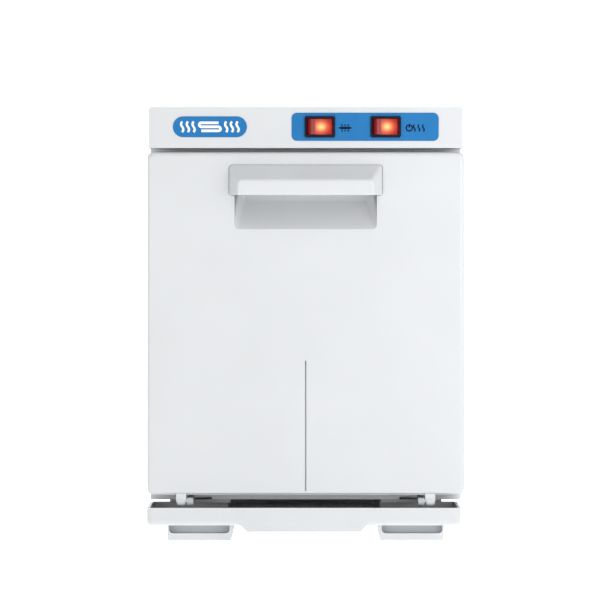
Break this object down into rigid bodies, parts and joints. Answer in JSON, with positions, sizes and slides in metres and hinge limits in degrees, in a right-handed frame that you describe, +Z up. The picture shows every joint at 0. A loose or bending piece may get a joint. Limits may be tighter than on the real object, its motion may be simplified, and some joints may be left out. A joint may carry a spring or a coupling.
{
  "type": "hot towel cabinet",
  "caption": "Small heated towel cabinet with a drop-down front door, wire rack, rocker switches on a top control housing, and a pull-out drip tray between low feet.",
  "frame": {"origin": "floor level, middle of the whole object", "axes": "+X to the user's right, -Y towards the user through the door, +Z up"},
  "size_m": [0.2222, 0.267, 0.3053],
  "materials": {
    "white_steel": "powder coated, fine gloss",
    "zinc_steel": "zinc plated",
    "white_abs": "moulded, satin gloss",
    "white_foot_abs": "moulded, fine matte",
    "grey_abs": "moulded, matte",
    "chamber_aluminium": "brushed sheet",
    "stainless_wire": "bright drawn",
    "steel_pin": "plated",
    "lamp_glass": "clear tube",
    "cream_plastic": "moulded",
    "silicone_mat": "moulded, matte",
    "glass_felt": "needled glass-fibre felt",
    "grey_rubber": "moulded",
    "black_plastic": "moulded",
    "red_lens": "see-through, lit from inside",
    "blue_film": "printed film",
    "navy_ink": "screen print",
    "white_ink": "screen print"
  },
  "bodies": {
    "cabinet": {"outer_wrap": "white_steel", "base_pan": "zinc_steel", "back_cover": "white_steel", "back_flange": "zinc_steel", "front_frame": "grey_abs", "chamber": "chamber_aluminium", "uv_lamp": "lamp_glass", "lamp_holders": "cream_plastic", "lamp_guard": "stainless_wire", "heater_mat": "silicone_mat", "thermostat": "zinc_steel", "thermal_fuse": "zinc_steel", "insulation_sides": "glass_felt", "insulation_top": "glass_felt", "insulation_floor": "glass_felt", "insulation_rear": "glass_felt", "rack_rails": "stainless_wire", "magnet_catch": "black_plastic", "cap_housing": "white_abs", "cap_underplate": "grey_abs", "panel_overlay": "blue_film", "badge_overlay": "blue_film", "panel_symbols": "navy_ink", "badge_symbols": "white_ink", "lamp_switch_housing": "black_plastic", "power_switch_housing": "black_plastic", "ballast": "zinc_steel", "lamp_starter": "cream_plastic", "terminal_block": "cream_plastic", "inlet_gland": "black_plastic", "hinge_bracket_right": "grey_abs", "hinge_bracket_left": "grey_abs", "hinge_pin_right": "steel_pin", "hinge_pin_left": "steel_pin", "tray_rail_right": "white_foot_abs", "tray_rail_left": "white_foot_abs", "foot_front_right": "white_foot_abs", "foot_front_left": "white_foot_abs", "foot_rear_left": "white_foot_abs", "foot_rear_right": "white_foot_abs", "foot_pads": "grey_rubber", "back_screws": "steel_pin", "foot_screws": "steel_pin", "rail_screws": "steel_pin", "hinge_screws": "steel_pin"},
    "door": {"door_skin": "white_abs", "door_grip": "white_abs", "door_liner": "grey_abs", "door_gasket": "grey_rubber", "door_insulation": "glass_felt", "strike_plate": "zinc_steel"},
    "tray": {"drip_tray": "white_abs"},
    "rack": {"wire_rack": "stainless_wire"},
    "lamp_switch": {"lamp_rocker": "red_lens"},
    "power_switch": {"power_rocker": "red_lens"}
  },
  "joints": [
    {"name": "door_hinge", "type": "hinge", "parent": "cabinet", "child": "door", "pos_m": [0, -0.118, 0.029], "axis": [1, 0, 0], "range_deg": [0, 90]},
    {"name": "tray_slide", "type": "slide", "parent": "cabinet", "child": "tray", "axis": [0, -1, 0], "range_m": [0, 0.085]},
    {"name": "rack_slide", "type": "slide", "parent": "cabinet", "child": "rack", "axis": [0, -1, 0], "range_m": [0, 0.02]},
    {"name": "lamp_switch_rock", "type": "hinge", "parent": "cabinet", "child": "lamp_switch", "pos_m": [0.0099, -0.1175, 0.2912], "axis": [0, 0, 1], "range_deg": [-16, 0]},
    {"name": "power_switch_rock", "type": "hinge", "parent": "cabinet", "child": "power_switch", "pos_m": [0.056, -0.1175, 0.2912], "axis": [0, 0, 1], "range_deg": [-16, 0]}
  ]
}
